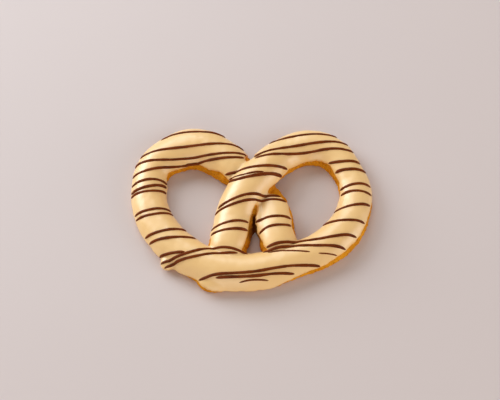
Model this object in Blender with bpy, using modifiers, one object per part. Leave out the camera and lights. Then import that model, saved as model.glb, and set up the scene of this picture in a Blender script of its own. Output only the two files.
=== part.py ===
"""An iced pretzel: one baked rope of dough, its coat of icing and the chocolate lines across it.

Metres, +Z up. The pretzel lies flat, with its rounded base towards -Y and its two loops towards
+Y. The origin is on the surface it lies on, under the middle of its bounding box.
"""

import math

import bmesh
import bpy
from mathutils import Matrix, Vector
from mathutils.bvhtree import BVHTree

MM = 0.001

# The rope of dough, before it is fused: the section at its full width.
ROPE_WIDTH = 18.0
ROPE_HEIGHT = 9.6
FOOT_ROUNDING = 1.4
FOOT_SPREAD = 0.07
FOOT_SPREAD_HEIGHT = 2.6
CROWN_FULLNESS = 2.1
SUNK = 0.4
VOXEL = 0.8
DOUGH_SETTLING = 4
DOUGH_TRIANGLES = 7000

# The coat of icing over it.
ICING_GAP = 0.3
ICING_THICKNESS = 0.9
ICING_SETTLING = 4
ICING_TRIANGLES = 4600

# How far up the dough the icing stops: its usual height, its slope across the pretzel, and the
# places where it stops higher. Each is (x, y, reach, extra height), in millimetres.
ICING_LINE = 3.4
ICING_LINE_SLOPE = (0.03, 0.02)
ICING_LINE_RISES = [
    (-2.5, 3.0, 8.0, 3.0),
    (0.5, -9.0, 2.5, 2.5),
    (1.2, -14.0, 4.0, 3.0),
    (2.0, -20.0, 5.0, 3.0),
    (9.2, 9.4, 2.2, 5.8),
    (12.5, 12.4, 3.2, 6.3),
    (18.0, 7.0, 4.0, 3.4),
    (21.0, -3.0, 3.5, 2.5),
    (22.0, 0.0, 7.0, 1.5),
    (-20.0, 22.5, 8.0, 3.2),
    (-40.0, 22.0, 5.0, 2.5),
    (28.0, 26.0, 12.0, 1.8),
    (52.0, -20.0, 19.0, 2.2),
    (60.0, 6.0, 7.0, 1.5),
    (0.2, 29.5, 3.0, 4.5),
]

# The chocolate lines: how thick a line is, how far it stands off the icing, how far apart the
# points along it are, and where each one runs as seen from above, in millimetres.
LINE_RADIUS = 0.5
LINE_GAP = 0.3
LINE_STEP = 3.2
LINE_END = 0.55
LINES = {
    "drizzle_left_01": [(-45.0, 39.2), (-38.5, 41.3), (-27.0, 42.0), (-20.0, 42.2), (-15.0, 41.5)],
    "drizzle_left_02": [(-55.0, 29.8), (-48.0, 31.1), (-35.0, 32.3), (-24.5, 33.6), (-15.5, 34.7),
                        (-8.5, 35.2), (-4.8, 34.3)],
    "drizzle_left_03": [(-58.5, 25.2), (-52.0, 25.4), (-41.5, 26.2), (-31.0, 27.6), (-14.5, 28.8),
                        (-7.5, 29.5), (-1.5, 29.9)],
    "drizzle_left_04": [(-59.6, 19.0), (-53.5, 19.6), (-46.5, 21.6), (-38.0, 24.0), (-30.5, 25.5),
                        (-19.5, 26.0), (-11.5, 26.4), (-2.0, 27.2)],
    "drizzle_left_05": [(-60.0, 13.4), (-55.8, 14.2), (-50.8, 14.8), (-46.7, 15.2), (-43.5, 15.0)],
    "drizzle_left_06": [(-60.0, 9.2), (-55.5, 9.8), (-50.5, 10.9), (-46.0, 12.3), (-43.0, 13.0)],
    "drizzle_left_07": [(-60.0, 7.2), (-54.5, 7.7), (-49.0, 8.3), (-43.3, 9.8)],
    "drizzle_left_08": [(-58.4, -3.4), (-52.5, -3.0), (-47.5, -2.1), (-43.0, -1.2), (-40.3, -0.8)],
    "drizzle_left_09": [(-57.6, -5.9), (-52.4, -5.7), (-47.4, -5.2), (-39.5, -3.1)],
    "drizzle_left_10": [(-52.6, -15.8), (-46.2, -15.2), (-40.0, -14.0), (-33.0, -12.2)],
    "drizzle_left_11": [(-50.5, -19.0), (-44.5, -18.8), (-38.0, -18.3), (-28.6, -17.2)],
    "drizzle_left_12": [(-44.5, -25.6), (-39.5, -26.0), (-33.8, -26.2)],
    "drizzle_left_13": [(-42.3, -29.4), (-37.0, -28.4), (-29.0, -26.3), (-20.5, -23.6),
                        (-11.5, -23.8), (-3.2, -25.5)],
    "drizzle_left_14": [(-41.5, -31.8), (-37.0, -30.4), (-27.5, -28.8), (-18.6, -26.8), (-8.2, -26.3)],
    "drizzle_cross_01": [(-15.4, 18.4), (-11.8, 18.3), (-8.5, 18.6), (-5.4, 18.6), (-1.0, 18.6), (5.2, 19.3),
                         (10.2, 19.9), (14.0, 20.4), (17.2, 21.2)],
    "drizzle_cross_02": [(-13.4, 16.7), (-10.4, 16.2), (-7.0, 14.3), (-3.0, 14.8), (0.9, 15.5),
                         (4.6, 15.9)],
    "drizzle_cross_03": [(-12.2, 14.8), (-9.1, 12.3), (-6.0, 12.4), (-1.6, 13.1), (3.3, 14.1), (7.1, 15.1),
                         (10.2, 15.9), (14.8, 16.8)],
    "drizzle_cross_04": [(-15.0, 0.0), (-10.0, 1.6), (-4.5, 3.3), (1.0, 4.6), (6.0, 5.6), (11.0, 6.4),
                         (17.0, 5.4)],
    "drizzle_cross_05": [(-16.5, -2.6), (-11.5, -1.4), (-6.0, 0.1), (1.0, 2.0), (5.0, 3.3),
                         (11.0, 3.9), (17.4, 3.2)],
    "drizzle_arm_01": [(-18.2, -11.7), (-14.0, -10.8), (-8.5, -9.7), (-4.3, -9.2), (-0.6, -9.3)],
    "drizzle_arm_02": [(3.6, -7.9), (6.5, -7.1), (12.0, -6.8), (17.0, -6.4), (20.8, -7.3)],
    "drizzle_arm_03": [(-19.6, -15.4), (-15.5, -14.9), (-10.5, -14.3), (-6.0, -13.8), (-2.4, -13.6)],
    "drizzle_arm_04": [(4.2, -14.4), (6.2, -12.8), (10.5, -12.1), (15.0, -11.6), (20.3, -10.9)],
    "drizzle_right_01": [(10.5, 37.2), (18.0, 39.2), (26.5, 40.6), (35.0, 41.6), (42.3, 41.2)],
    "drizzle_right_02": [(2.6, 26.8), (6.5, 28.7), (15.5, 31.8), (26.0, 34.5), (34.5, 36.0),
                         (43.0, 36.9), (49.8, 36.2)],
    "drizzle_right_03": [(3.2, 25.2), (9.0, 26.6), (21.5, 29.4), (32.5, 31.6), (42.0, 32.6),
                         (52.8, 31.8)],
    "drizzle_right_04": [(37.4, 26.3), (41.8, 25.3), (48.3, 25.5), (53.5, 25.8), (56.5, 24.6)],
    "drizzle_right_05": [(41.8, 20.2), (43.5, 20.8), (49.0, 20.8), (54.0, 21.1), (57.8, 20.3)],
    "drizzle_right_06": [(44.3, 10.7), (48.0, 11.6), (52.0, 12.3), (56.0, 12.8), (59.3, 12.2)],
    "drizzle_right_07": [(44.3, 7.5), (47.8, 8.1), (53.3, 8.3), (59.4, 7.4)],
    "drizzle_right_08": [(41.6, -1.6), (45.6, -1.0), (52.0, 0.2), (57.2, 1.2), (59.2, 1.0)],
    "drizzle_right_09": [(35.5, -9.6), (40.5, -9.1), (47.5, -8.8), (53.4, -8.6), (56.4, -9.4)],
    "drizzle_right_10": [(8.2, -22.6), (12.5, -21.6), (18.2, -20.6), (24.0, -19.7), (32.6, -19.2),
                         (40.7, -17.8), (48.0, -16.5), (51.8, -17.0)],
    "drizzle_right_11": [(7.0, -24.9), (12.5, -23.7), (22.0, -22.6), (32.5, -22.9), (41.0, -22.8),
                         (46.8, -23.5)],
    "drizzle_right_12": [(9.0, -25.7), (14.0, -25.3), (21.0, -25.6), (26.8, -26.1)],
    "drizzle_right_13": [(33.5, -26.7), (40.3, -26.6)],
    "drizzle_base_01": [(-27.0, -39.2), (-23.0, -38.8), (-18.8, -37.9), (-8.1, -37.5), (-2.2, -37.2),
                        (3.8, -36.4), (9.7, -35.0), (15.7, -33.7), (21.8, -32.8), (27.8, -32.2),
                        (32.1, -31.7), (34.6, -31.9)],
    "drizzle_base_02": [(-15.5, -39.2), (-9.3, -39.1), (-2.2, -39.1), (3.8, -38.5), (7.4, -37.8),
                        (12.1, -37.0), (19.0, -36.3)],
    "drizzle_base_03": [(-4.4, -41.1), (-2.2, -40.6), (1.0, -40.3), (4.0, -40.1), (6.6, -40.1)],
}
# Lines that were laid down thicker or thinner than the rest.
LINE_WEIGHTS = {"drizzle_left_06": 1.25, "drizzle_cross_02": 0.8, "drizzle_cross_03": 1.25,
                "drizzle_right_05": 1.2, "drizzle_base_02": 1.2, "drizzle_base_03": 0.9,
                "drizzle_right_12": 0.75, "drizzle_right_13": 0.75}

# Stations along the rope, from the foot of one arm round to the foot of the other.
# Each is (x, y, width, lift of the underside), in millimetres.
ROPE_STATIONS = [
    (-9.5, -27.0, 16.0, 0.0),
    (-11.3, -20.0, 19.3, 0.0),
    (-9.3, -11.5, 19.5, 0.0),
    (-7.8, -2.0, 18.4, 1.0),
    (-2.7, 9.5, 17.8, 4.4),
    (6.8, 21.7, 18.2, 4.4),
    (16.5, 32.0, 18.5, 0.8),
    (29.0, 37.5, 19.0, 0.0),
    (41.0, 34.0, 18.0, 0.0),
    (48.5, 24.0, 16.5, 0.0),
    (52.3, 11.0, 16.4, 0.0),
    (50.5, -2.0, 17.0, 0.0),
    (44.5, -12.5, 18.5, 0.0),
    (34.3, -21.4, 18.2, 0.0),
    (20.5, -27.4, 17.4, 0.0),
    (4.5, -33.0, 18.0, 0.0),
    (-9.5, -33.5, 18.5, 0.0),
    (-23.0, -29.5, 18.0, 0.0),
    (-35.2, -21.2, 17.6, 0.0),
    (-43.8, -11.8, 17.2, 0.0),
    (-50.0, 0.5, 16.5, 0.0),
    (-51.5, 14.0, 16.5, 0.0),
    (-48.5, 26.0, 18.0, 0.0),
    (-39.5, 33.5, 20.5, 0.0),
    (-28.5, 36.5, 22.0, 0.0),
    (-16.5, 31.5, 21.0, 0.0),
    (-5.5, 22.0, 18.5, 0.0),
    (4.0, 13.5, 16.5, -2.6),
    (9.8, 5.0, 16.8, -1.6),
    (11.8, -5.0, 18.4, -0.2),
    (12.2, -13.0, 19.0, 0.0),
    (13.6, -20.0, 18.5, 0.0),
    (14.0, -26.5, 15.0, 0.0),
]

# Where the dough bulged at the edge, and where it ran together between the arms:
# (x, y, z, length along X, breadth along Y, height), in millimetres.
BULGES = [
    (2.2, -4.5, 0.0, 6.0, 18.0, 7.0),
    (2.2, -4.0, 2.6, 12.0, 19.0, 9.6),
    (-18.0, -37.6, 1.5, 17.5, 12.5, 8.5),
    (-40.8, -28.6, 2.0, 5.6, 6.2, 5.2),
]

# The slit left between the two arms: its outline seen from above as (x, y, height of its bottom).
# The crease under the edge of the upper strand where it crosses: (x, y, z, radius). Millimetres.
SLIT = [(2.1, 1.6, 5.0), (1.2, -1.5, 2.2), (0.7, -5.0, 1.4), (0.3, -10.0, 0.6), (0.4, -14.0, -2.0),
        (0.0, -24.0, -2.0), (4.8, -24.0, -2.0), (3.8, -14.0, -2.0), (2.9, -10.0, 0.6),
        (2.7, -5.0, 1.4), (2.5, -1.5, 2.2)]
CREASE = [(3.4, 3.4, 9.0, 0.4), (6.2, 6.4, 7.6, 0.8), (9.6, 10.4, 6.6, 1.0), (13.4, 15.2, 6.0, 1.0),
          (16.0, 19.0, 5.0, 0.6)]


def clear_scene():
    for thing in list(bpy.data.objects):
        bpy.data.objects.remove(thing)


def collection(name):
    made = bpy.data.collections.new(name)
    bpy.context.scene.collection.children.link(made)
    return made


def material(name, colour, roughness):
    made = bpy.data.materials.new(name)
    made.use_nodes = True
    shader = made.node_tree.nodes["Principled BSDF"]
    shader.inputs["Base Color"].default_value = (*colour, 1.0)
    shader.inputs["Roughness"].default_value = roughness
    shader.inputs["Metallic"].default_value = 0.0
    return made


def section_outline():
    """The rope's section: flat underneath with rounded feet, and a full round crown."""
    half = ROPE_WIDTH / 2
    dome = ROPE_HEIGHT - FOOT_ROUNDING
    right = []
    for step in range(4):
        turn = math.radians(90 * step / 4)
        right.append((half - FOOT_ROUNDING * (1 - math.sin(turn)),
                      FOOT_ROUNDING * (1 - math.cos(turn))))
    for step in range(11):
        turn = math.radians(90 * step / 10)
        up = dome * math.sin(turn) ** (2 / CROWN_FULLNESS)
        pinch = 1 - FOOT_SPREAD * (1 - math.exp(-(up / FOOT_SPREAD_HEIGHT) ** 2))
        right.append((half * pinch * math.cos(turn) ** (2 / CROWN_FULLNESS), FOOT_ROUNDING + up))
    return right + [(-across, up) for across, up in reversed(right[:-1])]


def closed_profile(name, outline, home):
    curve = bpy.data.curves.new(name, "CURVE")
    curve.dimensions = "2D"
    spline = curve.splines.new("POLY")
    spline.points.add(len(outline) - 1)
    for point, (across, up) in zip(spline.points, outline):
        point.co = (across * MM, up * MM, 0, 1)
    spline.use_cyclic_u = True
    guide = bpy.data.objects.new(name, curve)
    home.objects.link(guide)
    return guide


def swept_rope(name, profile, home):
    curve = bpy.data.curves.new(name, "CURVE")
    curve.dimensions = "3D"
    curve.twist_mode = "Z_UP"
    curve.bevel_mode = "OBJECT"
    curve.bevel_object = profile
    curve.use_fill_caps = True
    curve.resolution_u = 10
    spline = curve.splines.new("BEZIER")
    spline.radius_interpolation = "CARDINAL"
    spline.bezier_points.add(len(ROPE_STATIONS) - 1)
    for point, (x, y, width, lift) in zip(spline.bezier_points, ROPE_STATIONS):
        point.co = (x * MM, y * MM, (lift - SUNK) * MM)
        point.radius = width / ROPE_WIDTH
        point.handle_left_type = point.handle_right_type = "AUTO"
    made = bpy.data.objects.new(name, curve)
    home.objects.link(made)
    return made


def as_mesh(curve_object, name, home):
    """The mesh a curve makes, with the seams round its end caps closed."""
    bpy.context.view_layer.update()
    depsgraph = bpy.context.evaluated_depsgraph_get()
    mesh = bpy.data.meshes.new_from_object(curve_object.evaluated_get(depsgraph))
    placed = curve_object.matrix_world.copy()
    bpy.data.objects.remove(curve_object)
    made = bpy.data.objects.new(name, mesh)
    made.matrix_world = placed
    home.objects.link(made)
    bm = bmesh.new()
    bm.from_mesh(mesh)
    bmesh.ops.remove_doubles(bm, verts=bm.verts, dist=0.00001)
    bmesh.ops.recalc_face_normals(bm, faces=bm.faces)
    bm.to_mesh(mesh)
    bm.free()
    return made


def add_bulges(dough):
    bm = bmesh.new()
    bm.from_mesh(dough.data)
    for x, y, z, length, breadth, height in BULGES:
        ball = bmesh.ops.create_icosphere(bm, subdivisions=3, radius=0.5 * MM)["verts"]
        bmesh.ops.scale(bm, verts=ball, vec=(length, breadth, height))
        bmesh.ops.translate(bm, verts=ball, vec=(x * MM, y * MM, z * MM))
    bm.to_mesh(dough.data)
    bm.free()


def slit_cutter(home):
    """An upright prism as wide as the slit, tall enough to part the arms from its bottom up."""
    mesh = bpy.data.meshes.new("slit")
    bm = bmesh.new()
    outline = bm.faces.new([bm.verts.new((x * MM, y * MM, z * MM)) for x, y, z in SLIT])
    raised = bmesh.ops.extrude_face_region(bm, geom=[outline])
    for vert in (item for item in raised["geom"] if isinstance(item, bmesh.types.BMVert)):
        vert.co.z = 20 * MM
    bmesh.ops.recalc_face_normals(bm, faces=bm.faces)
    bm.to_mesh(mesh)
    bm.free()
    cutter = bpy.data.objects.new("slit", mesh)
    home.objects.link(cutter)
    cutter.hide_render = True
    cutter.display_type = "WIRE"
    return cutter


def crease_cutter(home):
    """A tapering tube along the crease."""
    curve = bpy.data.curves.new("crease", "CURVE")
    curve.dimensions = "3D"
    curve.bevel_depth = MM
    curve.bevel_resolution = 2
    curve.use_fill_caps = True
    spline = curve.splines.new("POLY")
    spline.points.add(len(CREASE) - 1)
    for point, (x, y, z, radius) in zip(spline.points, CREASE):
        point.co = (x * MM, y * MM, z * MM, 1)
        point.radius = radius
    tube = bpy.data.objects.new("crease", curve)
    home.objects.link(tube)
    cutter = as_mesh(tube, "crease", home)
    cutter.hide_render = True
    cutter.display_type = "WIRE"
    return cutter


def apply_modifiers(made):
    """The object's own mesh, replaced by what its modifiers make of it."""
    bpy.context.view_layer.update()
    depsgraph = bpy.context.evaluated_depsgraph_get()
    mesh = bpy.data.meshes.new_from_object(made.evaluated_get(depsgraph))
    made.modifiers.clear()
    made.data = mesh


def floor_slab(home):
    mesh = bpy.data.meshes.new("floor_slab")
    bm = bmesh.new()
    bmesh.ops.create_cube(bm, size=1)
    bmesh.ops.scale(bm, verts=bm.verts, vec=(0.2, 0.2, 0.01))
    bmesh.ops.translate(bm, verts=bm.verts, vec=(0, 0, -0.005))
    bm.to_mesh(mesh)
    bm.free()
    slab = bpy.data.objects.new("floor_slab", mesh)
    home.objects.link(slab)
    slab.hide_render = True
    slab.display_type = "WIRE"
    return slab


def subtract(made, *cutters):
    """Cut other solids out of one, with the exact solver."""
    for cutter in cutters:
        cut = made.modifiers.new("less_" + cutter.name, "BOOLEAN")
        cut.operation = "DIFFERENCE"
        cut.solver = "EXACT"
        cut.object = cutter
    apply_modifiers(made)


def copy_of(made, name, home):
    copy = bpy.data.objects.new(name, made.data.copy())
    home.objects.link(copy)
    copy.hide_render = True
    copy.display_type = "WIRE"
    return copy


def fuse(made, rounds):
    """One skin over everything that touches, rounded off in the corners."""
    remesh = made.modifiers.new("fuse", "REMESH")
    remesh.mode = "VOXEL"
    remesh.voxel_size = VOXEL * MM
    smooth = made.modifiers.new("settle", "SMOOTH")
    smooth.factor = 0.5
    smooth.iterations = rounds
    apply_modifiers(made)


def grow(made, distance):
    swell = made.modifiers.new("grow", "DISPLACE")
    swell.direction = "NORMAL"
    swell.mid_level = 0
    swell.strength = distance * MM
    apply_modifiers(made)


def thin_out(made, triangles):
    thin = made.modifiers.new("thin_out", "DECIMATE")
    made.data.calc_loop_triangles()
    thin.ratio = triangles / len(made.data.loop_triangles)
    apply_modifiers(made)


def keep_largest(made):
    """Take away the crumbs a cut left beside the main body."""
    bm = bmesh.new()
    bm.from_mesh(made.data)
    bodies, seen = [], set()
    for first in bm.faces:
        if first in seen:
            continue
        body, waiting = [], [first]
        seen.add(first)
        while waiting:
            face = waiting.pop()
            body.append(face)
            for other in (other for edge in face.edges for other in edge.link_faces):
                if other not in seen:
                    seen.add(other)
                    waiting.append(other)
        bodies.append(body)
    for body in sorted(bodies, key=len)[:-1]:
        bmesh.ops.delete(bm, geom=body, context="FACES")
    bm.to_mesh(made.data)
    bm.free()


def icing_line_height(x, y):
    height = ICING_LINE + ICING_LINE_SLOPE[0] * x + ICING_LINE_SLOPE[1] * y
    for rise_x, rise_y, reach, extra in ICING_LINE_RISES:
        apart = math.hypot(x - rise_x, y - rise_y) / reach
        height += extra * math.exp(-apart * apart)
    return height


def icing_line_cutter(home):
    """A solid that fills the space under the icing's lower edge."""
    mesh = bpy.data.meshes.new("under_the_icing")
    bm = bmesh.new()
    bmesh.ops.create_grid(bm, x_segments=48, y_segments=40, size=1)
    for vert in bm.verts:
        vert.co.x *= 72 * MM
        vert.co.y *= 60 * MM
        vert.co.z = icing_line_height(vert.co.x / MM, vert.co.y / MM) * MM
    bmesh.ops.recalc_face_normals(bm, faces=bm.faces)
    down = bmesh.ops.extrude_face_region(bm, geom=bm.faces[:])
    for vert in (item for item in down["geom"] if isinstance(item, bmesh.types.BMVert)):
        vert.co.z = -5 * MM
    bmesh.ops.recalc_face_normals(bm, faces=bm.faces)
    bm.to_mesh(mesh)
    bm.free()
    cutter = bpy.data.objects.new("under_the_icing", mesh)
    home.objects.link(cutter)
    cutter.hide_render = True
    cutter.display_type = "WIRE"
    return cutter


def smooth_path(points, steps=12):
    """A curve through every point, evenly bent, as a close run of positions seen from above."""
    ends = [points[0]] + points + [points[-1]]
    path = []
    for before, start, stop, after in zip(ends, ends[1:], ends[2:], ends[3:]):
        for step in range(steps):
            t = step / steps
            path.append(tuple(
                0.5 * (2 * b + (c - a) * t + (2 * a - 5 * b + 4 * c - d) * t * t
                       + (3 * b - a - 3 * c + d) * t ** 3)
                for a, b, c, d in zip(before, start, stop, after)))
    return path + [points[-1]]


def laid_on(surface, path, clearance):
    """The path dropped onto a surface from above and held up off it by the clearance."""
    resting = []
    for x, y in path:
        spot, slope, _, _ = surface.ray_cast(Vector((x * MM, y * MM, 0.1)), Vector((0, 0, -1)))
        if spot is None:
            continue
        place = spot + Vector((0, 0, clearance / max(0.3, slope.z)))
        while surface.find_nearest(place)[3] < clearance:
            place.z += 0.05 * MM
        resting.append(place)
    return resting


def evenly_spaced(places, step):
    reach = [0.0]
    for before, after in zip(places, places[1:]):
        reach.append(reach[-1] + (after - before).length)
    count = max(3, round(reach[-1] / step) + 1)
    spaced, at = [], 0
    for number in range(count):
        wanted = reach[-1] * number / (count - 1)
        while at < len(reach) - 2 and reach[at + 1] < wanted:
            at += 1
        share = (wanted - reach[at]) / (reach[at + 1] - reach[at])
        spaced.append(places[at].lerp(places[at + 1], min(1.0, share)))
    return spaced


def chocolate_line(name, points, surface, home):
    radius = LINE_RADIUS * LINE_WEIGHTS.get(name, 1.0) * MM
    resting = laid_on(surface, smooth_path(points), radius + LINE_GAP * MM)
    places = evenly_spaced(resting, LINE_STEP * MM)
    curve = bpy.data.curves.new(name, "CURVE")
    curve.dimensions = "3D"
    curve.bevel_depth = radius
    curve.bevel_resolution = 1
    curve.use_fill_caps = True
    spline = curve.splines.new("POLY")
    spline.points.add(len(places) - 1)
    for number, (point, place) in enumerate(zip(spline.points, places)):
        point.co = (*place, 1)
        point.radius = LINE_END if number in (0, len(places) - 1) else 1.0
    line = bpy.data.objects.new(name, curve)
    home.objects.link(line)
    return as_mesh(line, name, home)


def centre_over_origin(pieces):
    corners = [vert.co for piece in pieces for vert in piece.data.vertices]
    middle = [(min(c[axis] for c in corners) + max(c[axis] for c in corners)) / 2 for axis in (0, 1)]
    for piece in pieces:
        piece.data.transform(Matrix.Translation((-middle[0], -middle[1], 0)))


def build():
    clear_scene()
    pretzel = collection("iced_pretzel")
    cutters = collection("cutters")

    profile = closed_profile("rope_section", section_outline(), cutters)
    dough = as_mesh(swept_rope("rope", profile, cutters), "dough", pretzel)
    bpy.data.objects.remove(profile)
    add_bulges(dough)
    fuse(dough, 1)
    slit = slit_cutter(cutters)
    subtract(dough, slit, crease_cutter(cutters))
    fuse(dough, DOUGH_SETTLING)
    coat = copy_of(dough, "icing", pretzel)
    thin_out(dough, DOUGH_TRIANGLES)
    subtract(dough, floor_slab(cutters))

    grow(coat, ICING_GAP + ICING_THICKNESS)
    fuse(coat, ICING_SETTLING)
    thin_out(coat, ICING_TRIANGLES)
    covered = copy_of(dough, "covered_dough", cutters)
    grow(covered, ICING_GAP)
    subtract(coat, covered, icing_line_cutter(cutters), slit)
    keep_largest(coat)
    coat.hide_render = False
    coat.display_type = "TEXTURED"

    for made, colour, roughness in ((dough, (0.55, 0.27, 0.05), 0.7), (coat, (0.85, 0.6, 0.3), 0.35)):
        made.data.materials.clear()
        made.data.materials.append(material(made.name, colour, roughness))

    surface = BVHTree.FromPolygons([vert.co for vert in coat.data.vertices],
                                   [face.vertices for face in coat.data.polygons])
    chocolate = material("chocolate", (0.12, 0.04, 0.015), 0.4)
    for name, points in LINES.items():
        line = chocolate_line(name, points, surface, pretzel)
        line.data.materials.append(chocolate)
    centre_over_origin(pretzel.objects)


build()
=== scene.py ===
# An iced pretzel: a baked rope of dough, the icing poured over it, and the chocolate drizzled
# across. Metres, +Z up; it lies flat with its rounded base towards -Y and its loops towards +Y.

import math

import bmesh
import bpy
import numpy as np
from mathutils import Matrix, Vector, kdtree, noise
from mathutils.bvhtree import BVHTree


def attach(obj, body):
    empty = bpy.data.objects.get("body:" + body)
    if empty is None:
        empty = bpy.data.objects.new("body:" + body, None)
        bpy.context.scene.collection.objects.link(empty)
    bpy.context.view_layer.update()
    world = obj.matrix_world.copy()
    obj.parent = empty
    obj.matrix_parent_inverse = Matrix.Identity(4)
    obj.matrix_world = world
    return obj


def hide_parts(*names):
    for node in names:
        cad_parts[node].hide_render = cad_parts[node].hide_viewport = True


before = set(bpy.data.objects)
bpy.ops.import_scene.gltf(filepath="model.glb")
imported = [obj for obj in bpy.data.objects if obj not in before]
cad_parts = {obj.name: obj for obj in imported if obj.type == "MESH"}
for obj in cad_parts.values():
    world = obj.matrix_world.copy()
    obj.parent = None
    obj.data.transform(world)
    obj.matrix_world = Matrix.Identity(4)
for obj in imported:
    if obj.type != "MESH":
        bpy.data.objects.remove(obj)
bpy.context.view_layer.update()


# The dough. One rope of short, crumbly dough was rolled, crossed over itself and pressed
# together at the base, and baked golden on a flat tray. It shows bare only low down on the
# walls, where the icing stopped, and in the slit between the two arms.

MM = 0.001
GRAIN = 0.62 * MM
SETTLING_ROUNDS = 6
PROUD = 0.12 * MM


def added(name, data):
    """A new object, linked into the scene."""
    made = bpy.data.objects.new(name, data)
    bpy.context.scene.collection.objects.link(made)
    return made


def final_mesh(made):
    """The mesh that an object shows once its modifiers or its bevel are worked out."""
    bpy.context.view_layer.update()
    depsgraph = bpy.context.evaluated_depsgraph_get()
    return bpy.data.meshes.new_from_object(made.evaluated_get(depsgraph))


def bake_modifiers(piece):
    mesh = final_mesh(piece)
    piece.modifiers.clear()
    piece.data = mesh


def merged_copy(node, name):
    """A copy of a solid of the frame with its triangles joined up, as a new object."""
    mesh = bpy.data.meshes.new(name)
    bm = bmesh.new()
    bm.from_mesh(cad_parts[node].data)
    bmesh.ops.remove_doubles(bm, verts=bm.verts, dist=0.002 * MM)
    bm.to_mesh(mesh)
    bm.free()
    return added(name, mesh)


def knead(piece):
    """Gives a faceted solid an even skin, smoothed and swollen a little, flat on the tray."""
    skin = piece.modifiers.new("skin", "REMESH")
    skin.mode = "VOXEL"
    skin.voxel_size = GRAIN
    soften = piece.modifiers.new("soften", "SMOOTH")
    soften.factor = 0.5
    soften.iterations = SETTLING_ROUNDS
    swell = piece.modifiers.new("swell", "DISPLACE")
    swell.mid_level = 0
    swell.strength = PROUD
    bake_modifiers(piece)
    for vert in piece.data.vertices:
        vert.co.z = max(0.0, vert.co.z)


# Where the icing stops on the dough, all in millimetres. Its edge has a usual height above the
# tray, which climbs along x and y, and a least height. It waves slowly and is finely ragged. The
# icing doesn't reach under an overhang, where a face's outward z is less than EDGE_OVERHANG.
EDGE_HEIGHT = 3.6
EDGE_CLIMB_X = 0.028
EDGE_CLIMB_Y = 0.014
EDGE_LOWEST = 1.3
EDGE_WAVE = 0.7
EDGE_WAVE_LENGTH = 7.0
EDGE_RAG = 0.4
EDGE_RAG_LENGTH = 2.2
EDGE_RAG_SEED = 50
EDGE_OVERHANG = -0.25
OVERHANG_SHARPNESS = 6
SLIT_SHARPNESS = 1.5

# The places where the icing stops higher or, below zero, runs lower: (x, y, z, reach, extra height).
EDGE_RISES = [
    (12.2, 9.6, 5.6, 2.5, 6.5),
    (9.4, 7.9, 6.7, 1.8, 5.5),
    (15.0, 8.4, 5.2, 3.2, 6.5),
    (15.0, 15.0, 6.0, 3.4, 3.0),
    (18.6, 5.0, 4.0, 3.4, 3.2),
    (20.8, -4.0, 4.0, 4.0, 3.0),
    (21.5, -13.0, 4.0, 5.0, 3.0),
    (-20.6, -20.2, 4.5, 3.0, 3.8),
    (-9.0, 11.0, 5.5, 3.5, 2.5),
    (-22.0, -43.0, 2.0, 8.0, 1.6),
    (0.0, 25.4, 8.6, 3.3, 11.0),
    (-15.0, 19.0, 4.0, 6.0, 3.2),
    (-27.0, 22.0, 4.0, 6.0, 2.0),
    (-41.0, 18.0, 4.0, 5.0, 2.7),
    (17.0, 20.2, 4.5, 5.0, 2.0),
    (27.0, 22.0, 4.0, 9.0, -1.0),
    (42.0, 14.0, 4.0, 5.0, -0.6),
    (43.0, 0.0, 4.0, 9.0, -3.0),
    (60.0, 9.0, 4.0, 10.0, -2.0),
    (-6.2, -25.6, 5.5, 2.8, 4.0),
    (7.8, -24.6, 5.5, 2.6, 4.0),
    (0.0, -45.0, 3.0, 19.0, -2.8),
    (-60.0, 4.0, 3.0, 24.0, -2.2),
    (-40.0, -28.0, 3.0, 10.0, -1.6),
]

# The brinks of the slit between the arms, where the icing stopped, from its foot to its top end:
# (y, left brink, right brink).
SLIT_BRINKS = [
    (-26.0, -5.2, 7.6),
    (-20.8, -3.2, 5.7),
    (-15.5, -1.9, 3.7),
    (-10.8, -1.2, 2.9),
    (-5.2, 0.3, 2.7),
    (-0.3, 2.0, 2.7),
]


def inside_slit(x, y):
    """How far inside the slit's brinks a place is, in millimetres: below zero it is outside."""
    along, left_brink, right_brink = zip(*SLIT_BRINKS)
    left = float(np.interp(y, along, left_brink))
    right = float(np.interp(y, along, right_brink))
    return min(x - left, right - x, y - along[0], along[-1] - y)


def iced(place, outward):
    """How far above the icing's edge a place is, in millimetres: below zero the dough is bare."""
    x, y, z = place / MM
    edge = EDGE_HEIGHT + EDGE_CLIMB_X * x + EDGE_CLIMB_Y * y
    for rise_x, rise_y, rise_z, reach, extra in EDGE_RISES:
        apart = ((x - rise_x) ** 2 + (y - rise_y) ** 2 + (z - rise_z) ** 2) / reach ** 2
        edge += extra * math.exp(-apart)
    edge = max(EDGE_LOWEST, edge)
    edge += EDGE_WAVE * noise.noise(Vector((x, y, z)) / EDGE_WAVE_LENGTH)
    ragged = EDGE_RAG * noise.noise(Vector((x + EDGE_RAG_SEED, y, z)) / EDGE_RAG_LENGTH)
    above_wall_edge = z - edge - ragged
    above_overhang = (outward.z - EDGE_OVERHANG) * OVERHANG_SHARPNESS
    outside_slit = ragged - SLIT_SHARPNESS * inside_slit(x, y)
    return min(above_wall_edge, above_overhang, outside_slit)


# An edge of the mesh is never cut nearer to its end than this share of its length.
NEAREST_CUT = 0.08


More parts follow.
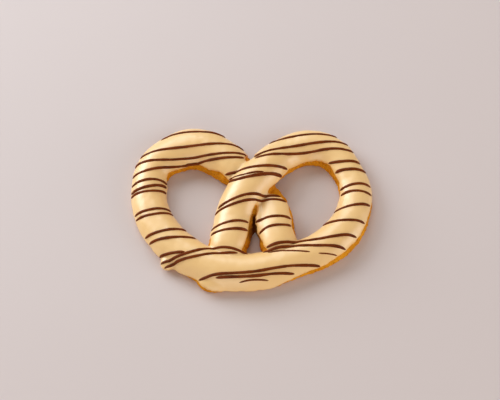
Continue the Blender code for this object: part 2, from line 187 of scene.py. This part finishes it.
def mark_edge(piece):
    """Cuts the mesh along the icing's edge and paints how far above it each point is."""
    bm = bmesh.new()
    bm.from_mesh(piece.data)
    bm.normal_update()
    layer = bm.verts.layers.float.new("above_edge")
    above = {vert: iced(vert.co, vert.normal) for vert in bm.verts}
    cuts = []
    for edge in list(bm.edges):
        start, stop = edge.verts
        low, high = above[start], above[stop]
        if low * high < 0:
            share = min(1 - NEAREST_CUT, max(NEAREST_CUT, low / (low - high)))
            _, vert = bmesh.utils.edge_split(edge, start, share)
            above[vert] = 0.0
            cuts.append(vert)
    bmesh.ops.connect_verts(bm, verts=cuts)
    for vert, depth in above.items():
        vert[layer] = depth
    bm.verts.index_update()
    bm.normal_update()
    bm.to_mesh(piece.data)
    bm.free()


# The broken, crumbly surface of the bare dough, in millimetres: lumps, crumbs, and pits where
# crumbs came away. The mesh is cut finer from just above the icing's edge downwards, except on
# the underside, and the crumb grows to its full depth across that edge and clear of the tray.
LUMP_DEPTH = 0.35
LUMP_SIZE = 4.5
CRUMB_DEPTH = 0.42
CRUMB_SIZE = 1.5
PIT_DEPTH = 0.7
PIT_SIZE = 1.1
PIT_LEVEL = 0.15
CRUMB_SEED = Vector((9, 4, 2))
PIT_SEED = Vector((31, 7, 5))
CUT_FINER_BELOW = 0.3
CRUMBLY_BELOW = 0.35
UNDERSIDE = -0.6
RESTS_ON_TRAY = 0.15
CLEAR_OF_TRAY = 1.0


def crumbly(place):
    """How far the broken, crumbly surface stands out at a place, in millimetres."""
    spot = place / MM
    lumps = noise.noise(spot / LUMP_SIZE)
    crumbs = noise.noise(spot / CRUMB_SIZE + CRUMB_SEED)
    pits = min(0.0, noise.noise(spot / PIT_SIZE + PIT_SEED) + PIT_LEVEL)
    return LUMP_DEPTH * lumps + CRUMB_DEPTH * crumbs + PIT_DEPTH * pits


def crumble(piece):
    """Cuts the faces of the bare dough finer and gives them their crumb."""
    bm = bmesh.new()
    bm.from_mesh(piece.data)
    above = bm.verts.layers.float["above_edge"]
    bare = [face for face in bm.faces if face.normal.z > UNDERSIDE
            and min(vert[above] for vert in face.verts) < CUT_FINER_BELOW]
    edges = {edge for face in bare for edge in face.edges}
    bmesh.ops.subdivide_edges(bm, edges=list(edges), cuts=1, use_grid_fill=True, smooth=0.0)
    bm.normal_update()
    moves = []
    for vert in bm.verts:
        share = min(1.0, max(0.0, (CRUMBLY_BELOW - vert[above]) / (2 * CRUMBLY_BELOW)))
        if share > 0 and vert.co.z > RESTS_ON_TRAY * MM:
            share *= min(1.0, vert.co.z / (CLEAR_OF_TRAY * MM))
            moves.append((vert, vert.normal * crumbly(vert.co) * share * MM))
    for vert, move in moves:
        vert.co += move
    bm.to_mesh(piece.data)
    bm.free()


dough = merged_copy("dough", "baked_rope")
knead(dough)
mark_edge(dough)
under_icing = dough.data.copy()
crumble(dough)
dough.data.shade_smooth()


# Painted shade deep down in the slit: the dough's colour is darkened there to stand in for the
# shadow in it, in millimetres: over this distance in from the brinks, below this height over this
# depth, and along the slit from this place over this length.
SHADE_FROM_BRINK = 0.9
SHADE_BELOW = 8.0
SHADE_OVER = 4.0
SHADE_FROM_Y = -20.0
SHADE_OVER_Y = 6.0


def slit_shade(place):
    """How much painted shade darkens the dough here: 1 deep down in the slit, and 0 everywhere else.
    """
    x, y, z = place / MM
    amount = min(inside_slit(x, y) / SHADE_FROM_BRINK, (SHADE_BELOW - z) / SHADE_OVER,
                 (y - SHADE_FROM_Y) / SHADE_OVER_Y)
    return min(1.0, max(0.0, amount))


def paint(piece, name, numbers):
    """Keeps a number for each point of a mesh, for its material to read."""
    layer = piece.data.attributes.new(name, "FLOAT", "POINT")
    layer.data.foreach_set("value", numbers)


class Reading:
    """A value that changes over a surface; sums, differences and products add Math nodes."""

    def __init__(self, finish, socket):
        self.finish = finish
        self.socket = socket

    def worked(self, operation, first, second):
        return self.finish.node("ShaderNodeMath", {"operation": operation}, {0: first, 1: second})

    def __add__(self, other):
        return self.worked("ADD", self, other)

    def __sub__(self, other):
        return self.worked("SUBTRACT", self, other)

    def __rsub__(self, other):
        return self.worked("SUBTRACT", other, self)

    def __mul__(self, other):
        return self.worked("MULTIPLY", self, other)

    __radd__ = __add__
    __rmul__ = __mul__


class Finish:
    """A material: the shader's fixed values, and the nodes that vary it over a piece."""

    def __init__(self, name, fixed):
        self.material = bpy.data.materials.new(name)
        self.material.use_nodes = True
        self.tree = self.material.node_tree
        self.shader = self.tree.nodes["Principled BSDF"]
        for socket, value in fixed.items():
            self.vary(socket, value)
        self.places = self.node("ShaderNodeTexCoord", {}, {}, "Object")

    def feed(self, socket, value):
        """Links a socket to what varies over the surface, or sets it to a number or a colour."""
        if isinstance(value, Reading):
            self.tree.links.new(value.socket, socket)
        elif socket.type == "RGBA":
            socket.default_value = (*value, 1.0)
        else:
            socket.default_value = value

    def vary(self, socket, value):
        self.feed(self.shader.inputs[socket], value)

    def node(self, kind, settings, sockets, output=0):
        made = self.tree.nodes.new(kind)
        for setting, value in settings.items():
            setattr(made, setting, value)
        for socket, value in sockets.items():
            self.feed(made.inputs[socket], value)
        return Reading(self, made.outputs[output])

    def mottle(self, size, detail=3.0, rough=0.55):
        """Cloudy noise from 0 to 1 whose patches are about this size, in metres."""
        return self.node("ShaderNodeTexNoise", {"noise_dimensions": "3D"},
                         {"Vector": self.places, "Scale": 1 / size, "Detail": detail,
                          "Roughness": rough})

    def spread(self, reading, low, high):
        """The reading eased from 0 at low to 1 at high, and held there."""
        return self.node("ShaderNodeMapRange", {"interpolation_type": "SMOOTHSTEP"},
                         {"Value": reading, "From Min": low, "From Max": high})

    def painted(self, name):
        """A number painted on the mesh."""
        return self.node("ShaderNodeAttribute", {"attribute_name": name}, {}, "Fac")

    def mix(self, share, first, second):
        """The first colour where the share is 0, and the second where it is 1."""
        first_colour, second_colour, mixed_colour = 6, 7, 2  # the colour sockets among all kinds
        return self.node("ShaderNodeMix", {"data_type": "RGBA"},
                         {"Factor": share, first_colour: first, second_colour: second},
                         mixed_colour)

    def relief(self, height, depth):
        """Fine relief as deep as this, in metres."""
        bump = self.node("ShaderNodeBump", {},
                         {"Strength": 1.0, "Distance": depth, "Height": height})
        self.vary("Normal", bump)


GOLDEN = (0.80, 0.34, 0.014)
BROWNED = (0.66, 0.245, 0.008)
SPECKS = (0.42, 0.13, 0.003)
# The dark colour of the painted shade deep down in the slit.
SLIT_SHADE_COLOUR = (0.16, 0.045, 0.004)
PATCH_SIZE = 5 * MM
SPECK_SIZE = 0.9 * MM
GRIT_SIZE = 0.6 * MM
GRIT_DEPTH = 0.25 * MM

# Paints how deep into the slit's painted shade each point of the dough lies.
paint(dough, "slit_shade", [slit_shade(vert.co) for vert in dough.data.vertices])
crumb = Finish("baked_dough", {"Specular IOR Level": 0.12})
patches = crumb.mottle(PATCH_SIZE)
speckle = crumb.mottle(SPECK_SIZE, 4.0, 0.7)
crust = crumb.mix(crumb.spread(patches, 0.35, 0.65), GOLDEN, BROWNED)
speckled = crumb.mix(crumb.spread(speckle, 0.48, 0.32), crust, SPECKS)
# Deep down in the slit the colour is darkened by painted shade.
crumb.vary("Base Color", crumb.mix(crumb.painted("slit_shade"), speckled, SLIT_SHADE_COLOUR))
crumb.vary("Roughness", 0.95 - 0.2 * speckle)
crumb.relief(crumb.mottle(GRIT_SIZE, 5.0, 0.7), GRIT_DEPTH)
dough.data.materials.clear()
dough.data.materials.append(crumb.material)
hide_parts("dough")
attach(dough, "root")


# The icing. A smooth cream coloured icing was poured over the cooled pretzel and ran down its
# walls, where it set in a thin rounded lip. It bridges the strands where they touch.

# The coat's usual depth over the dough, how far its inside is sunk in the dough, and how wide
# the rounded lip at its rim is, in millimetres. The rim is smoothed this many times.
COAT_DEPTH = 1.2
SUNK_IN = 0.15
LIP_WIDTH = 1.3
RIM_ROUNDS = 3

# The coat swells and thins by these shares over these lengths, in millimetres. Its thickest is
# this many times the usual, and its thinnest is this share of its thickest.
WIDE_SWELL = 0.16
WIDE_SWELL_LENGTH = 9.0
SMALL_SWELL = 0.08
SMALL_SWELL_LENGTH = 3.0
THICKEST = 1.3
THINNEST = 0.06


def keep_largest_sheet(bm):
    """Deletes the loose flakes of icing that aren't joined to its main sheet."""
    sheets = []
    seen = set()
    for face in bm.faces:
        if face in seen:
            continue
        sheet, reach = [], [face]
        seen.add(face)
        while reach:
            here = reach.pop()
            sheet.append(here)
            for edge in here.edges:
                fresh = [other for other in edge.link_faces if other not in seen]
                seen.update(fresh)
                reach += fresh
        sheets.append(sheet)
    sheets.sort(key=len)
    for flake in sheets[:-1]:
        bmesh.ops.delete(bm, geom=flake, context="FACES")


def poured(mesh):
    """The icing over a dough whose edge is marked: a sheet that is thickened outwards."""
    piece = added("poured_icing", mesh)
    bm = bmesh.new()
    bm.from_mesh(mesh)
    above = bm.verts.layers.float["above_edge"]
    bare = [face for face in bm.faces if sum(vert[above] for vert in face.verts) <= 0]
    bmesh.ops.delete(bm, geom=bare, context="FACES")
    keep_largest_sheet(bm)
    rim = [vert for vert in bm.verts if vert.is_boundary]
    for _ in range(RIM_ROUNDS):
        bmesh.ops.smooth_vert(bm, verts=rim, factor=0.5, use_axis_x=True, use_axis_y=True,
                              use_axis_z=True)
    bm.normal_update()
    rims = kdtree.KDTree(len(rim))
    for number, vert in enumerate(rim):
        rims.insert(vert.co, number)
    rims.balance()
    weights, from_rim = [], []
    for vert in bm.verts:
        apart = rims.find(vert.co)[2] / MM
        inward = 1 - min(1.0, apart / LIP_WIDTH)
        wide_swell = WIDE_SWELL * noise.noise(vert.co / (WIDE_SWELL_LENGTH * MM))
        small_swell = SMALL_SWELL * noise.noise(vert.co / (SMALL_SWELL_LENGTH * MM))
        thickness = math.sqrt(1 - inward ** 2) * (1 + wide_swell + small_swell)
        weights.append(max(THINNEST, thickness / THICKEST))
        from_rim.append(apart)
        vert.co -= vert.normal * SUNK_IN * MM
    bm.to_mesh(mesh)
    bm.free()
    coat = piece.vertex_groups.new(name="coat")
    for number, weight in enumerate(weights):
        coat.add([number], weight, "REPLACE")
    paint(piece, "from_rim", from_rim)
    skin = piece.modifiers.new("skin", "SOLIDIFY")
    skin.thickness = (COAT_DEPTH + SUNK_IN) * THICKEST * MM
    skin.offset = 1
    skin.vertex_group = "coat"
    skin.use_even_offset = False
    bake_modifiers(piece)
    piece.data.shade_smooth()
    return piece


CREAM = (0.97, 0.64, 0.27)
DEEP_CREAM = (0.95, 0.61, 0.24)
# Near its rim the icing is deeper orange: partly the dough showing through the thin icing, partly
# painted bounce light from the dough.
THIN_EDGE_AND_BOUNCE = (0.92, 0.53, 0.155)
TONE_SIZE = 14 * MM
RIPPLE_SIZE = 3.5 * MM
RIPPLE_DEPTH = 0.06 * MM
THIN_WITHIN = 1.6
THINNEST_WITHIN = 0.2

icing = poured(under_icing)
cream = Finish("set_icing", {"Coat Weight": 0.85, "Coat Roughness": 0.38, "Coat IOR": 1.6})
tone = cream.spread(cream.mottle(TONE_SIZE, 2.0), 0.3, 0.7)
# How near the rim a point is, where the icing takes the deeper orange of thin icing and painted
# bounce light.
near_rim = cream.spread(cream.painted("from_rim"), THIN_WITHIN, THINNEST_WITHIN)
ripples = cream.mottle(RIPPLE_SIZE)
cream.vary("Base Color", cream.mix(near_rim, cream.mix(tone, CREAM, DEEP_CREAM), THIN_EDGE_AND_BOUNCE))
cream.vary("Roughness", 0.37 + 0.1 * ripples)
cream.relief(ripples, RIPPLE_DEPTH)
icing.data.materials.clear()
icing.data.materials.append(cream.material)
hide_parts("icing")
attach(icing, "root")


# The chocolate. Melted dark chocolate was run from a fine piping bag in quick strokes from side
# to side; each line is a low half-round bead that follows the icing and thins out at its ends.

LINE_RADIUS = 0.77 * MM
LINE_SUNK = 0.2 * MM
RUN_OVER = 1.7 * MM
RING_GAP = 0.55 * MM
FINE_STEP = 0.35 * MM
BEAD_STEP = 0.5 * MM
PATH_ROUNDS = 60
BRIDGING_ROUNDS = 12
DROP_HEIGHT = 0.1
TAPER_STEPS = 6
THINNEST_END = 0.25
SLOW_WAVER = 0.22
SLOW_WAVER_LENGTH = 6 * MM
QUICK_WAVER = 0.08
QUICK_WAVER_LENGTH = 1.6 * MM
SEED_STEP = 3.7

# The lines that are thicker or thinner than usual, and how many times.
LINE_WEIGHTS = {"drizzle_left_06": 1.2, "drizzle_cross_02": 0.75, "drizzle_cross_03": 1.2,
                "drizzle_right_05": 1.2, "drizzle_base_02": 1.05, "drizzle_base_03": 0.75,
                "drizzle_right_12": 0.6, "drizzle_right_13": 0.6}


def stroke(node):
    """The line a chocolate bead of the frame follows, as seen from above, left to right."""
    places = np.unique(np.round([tuple(vert.co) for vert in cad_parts[node].data.vertices], 7),
                       axis=0)
    flat = places[:, :2] - places[:, :2].mean(axis=0)
    along = flat @ np.linalg.svd(flat, full_matrices=False)[2][0]
    if (along * places[:, 0]).sum() < along.sum() * places[:, 0].mean():
        along = -along
    order = np.argsort(along)
    places, along = places[order], along[order]
    rings = np.split(places[:, :2], np.flatnonzero(np.diff(along) > RING_GAP) + 1)
    return [Vector((*ring.mean(axis=0), 0)) for ring in rings]


def run_over(path):
    """The stroke as a smooth line of small steps that runs on a little past both its ends."""
    for end, inside in ((0, 1), (-1, -2)):
        path[end] += (path[end] - path[inside]).normalized() * RUN_OVER
    line = []
    for start, stop in zip(path, path[1:]):
        steps = max(1, round((stop - start).length / FINE_STEP))
        line += [start.lerp(stop, number / steps) for number in range(steps)]
    line.append(path[-1])
    for _ in range(PATH_ROUNDS):
        line[1:-1] = [(a + 2 * b + c) / 4 for a, b, c in zip(line, line[1:], line[2:])]
    return line


def dropped(line, surface):
    """The line let down onto the icing, where it bridges the narrow dips."""
    resting = []
    for spot in line:
        hit = surface.ray_cast(Vector((spot.x, spot.y, DROP_HEIGHT)), Vector((0, 0, -1)))[0]
        if hit is not None:
            resting.append(hit)
    for _ in range(BRIDGING_ROUNDS):
        eased = [(a.z + 2 * b.z + c.z) / 4 for a, b, c in zip(resting, resting[1:], resting[2:])]
        for spot, height in zip(resting[1:-1], eased):
            spot.z = max(spot.z, height)
    return resting


def evenly_spaced(line, step):
    """The line as points that are about this far apart, in metres."""
    reach = [0.0]
    for before, after in zip(line, line[1:]):
        reach.append(reach[-1] + (after - before).length)
    count = max(TAPER_STEPS, round(reach[-1] / step))
    return [Vector([float(np.interp(reach[-1] * number / count, reach, [spot[axis] for spot in line]))
                    for axis in range(3)]) for number in range(count + 1)]


def laid_bead(name, line, radius, seed):
    """A closed bead of uneven thickness along a line, drawn out thin at its ends."""
    curve = bpy.data.curves.new(name, "CURVE")
    curve.dimensions = "3D"
    curve.bevel_depth = radius
    curve.bevel_resolution = 3
    curve.use_fill_caps = True
    spline = curve.splines.new("POLY")
    spline.points.add(len(line) - 1)
    for number, (point, spot) in enumerate(zip(spline.points, line)):
        point.co = (*spot, 1)
        from_end = min(1.0, min(number, len(line) - 1 - number) / TAPER_STEPS)
        taper = math.sqrt(1 - (1 - from_end) ** 2)
        waver = 1 + SLOW_WAVER * noise.noise(Vector((seed, 0, 0)) + spot / SLOW_WAVER_LENGTH)
        waver += QUICK_WAVER * noise.noise(Vector((seed, 5, 0)) + spot / QUICK_WAVER_LENGTH)
        point.radius = max(THINNEST_END, taper) * waver
    tube = added(name, curve)
    mesh = final_mesh(tube)
    bpy.data.objects.remove(tube)
    bm = bmesh.new()
    bm.from_mesh(mesh)
    bmesh.ops.remove_doubles(bm, verts=bm.verts, dist=0.002 * MM)
    bmesh.ops.recalc_face_normals(bm, faces=bm.faces)
    bm.to_mesh(mesh)
    bm.free()
    mesh.shade_smooth()
    return added(name, mesh)


DARK = (0.19, 0.036, 0.003)
DARKEST = (0.12, 0.021, 0.002)
STREAK_SIZE = 4 * MM
BLOOM_SIZE = 1.2 * MM
BLOOM_DEPTH = 0.05 * MM

cocoa = Finish("dark_chocolate", {"Specular IOR Level": 0.1})
streaks = cocoa.spread(cocoa.mottle(STREAK_SIZE), 0.35, 0.7)
bloom = cocoa.mottle(BLOOM_SIZE)
cocoa.vary("Base Color", cocoa.mix(streaks, DARK, DARKEST))
cocoa.vary("Roughness", 0.38 + 0.14 * bloom)
cocoa.relief(bloom, BLOOM_DEPTH)

bpy.context.view_layer.update()
top = BVHTree.FromObject(icing, bpy.context.evaluated_depsgraph_get())
strokes = sorted(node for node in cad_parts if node.startswith("drizzle"))
for number, node in enumerate(strokes):
    line = evenly_spaced(dropped(run_over(stroke(node)), top), BEAD_STEP)
    sunk = [spot - top.find_nearest(spot)[1] * LINE_SUNK for spot in line]
    bead = laid_bead(node.replace("drizzle", "chocolate"), sunk,
                     LINE_RADIUS * LINE_WEIGHTS.get(node, 1.0), number * SEED_STEP)
    bead.data.materials.clear()
    bead.data.materials.append(cocoa.material)
    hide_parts(node)
    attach(bead, "root")


# The table. A plain, pale, matt table top, painted in one greyish pink, on which the pretzel
# lies flat.

TABLE_WIDTH = 6.0
TABLE_COLOUR = (0.70, 0.62, 0.605)
TABLE_SHADE = tuple(part * 0.985 for part in TABLE_COLOUR)
SHADE_SIZE = 90 * MM

table = added("table_top", bpy.data.meshes.new("table_top"))
bm = bmesh.new()
bmesh.ops.create_grid(bm, x_segments=1, y_segments=1, size=TABLE_WIDTH / 2)
bm.to_mesh(table.data)
bm.free()
plain = Finish("plain_table", {"Roughness": 0.6})
plain.vary("Base Color", plain.mix(plain.mottle(SHADE_SIZE), TABLE_COLOUR, TABLE_SHADE))
table.data.materials.append(plain.material)


# The light. A wide soft window high up on the left and behind, a weaker one behind, and two
# broad fills from the front and the right, in a dim warm room.

ROOM_COLOUR = (1.0, 0.83, 0.70, 1.0)
ROOM_STRENGTH = 0.28


def soft_light(name, place, width, power, colour):
    """A round area light at a place, turned to the pretzel."""
    lamp = bpy.data.lights.new(name, "AREA")
    lamp.shape = "DISK"
    lamp.size = width
    lamp.energy = power
    lamp.color = colour
    hung = added(name, lamp)
    hung.location = place
    hung.rotation_euler = (-Vector(place)).to_track_quat("-Z", "Y").to_euler()


soft_light("window", (-1.10, 0.75, 0.62), 1.0, 17.5, (0.91, 0.98, 1.04))
soft_light("back", (-0.30, 1.10, 0.95), 0.9, 6.5, (0.93, 1.0, 1.06))
soft_light("front_fill", (-0.20, -1.40, 0.52), 1.2, 7.0, (1.0, 0.97, 0.92))
soft_light("right_fill", (1.35, -0.35, 0.50), 1.0, 8.0, (1.0, 0.98, 0.96))

room = bpy.data.worlds.new("room")
bpy.context.scene.world = room
room.use_nodes = True
room_light = room.node_tree.nodes["Background"]
room_light.inputs["Color"].default_value = ROOM_COLOUR
room_light.inputs["Strength"].default_value = ROOM_STRENGTH


# The camera. It looks down steeply from the front, from a little over half a metre away.

CAMERA_ELEVATION = math.radians(60)
CAMERA_DISTANCE = 555.6 * MM
LOOKED_AT = Vector((-0.67, 4.26, 4.0)) * MM

lens = bpy.data.cameras.new("camera")
lens.lens = 80
lens.sensor_width = 36
lens.clip_start = 0.01
camera = added("camera", lens)
towards_camera = Vector((0, -math.cos(CAMERA_ELEVATION), math.sin(CAMERA_ELEVATION)))
camera.location = LOOKED_AT + CAMERA_DISTANCE * towards_camera
camera.rotation_euler = (math.pi / 2 - CAMERA_ELEVATION, 0, 0)
bpy.context.scene.camera = camera
bpy.context.scene.view_settings.view_transform = "Standard"
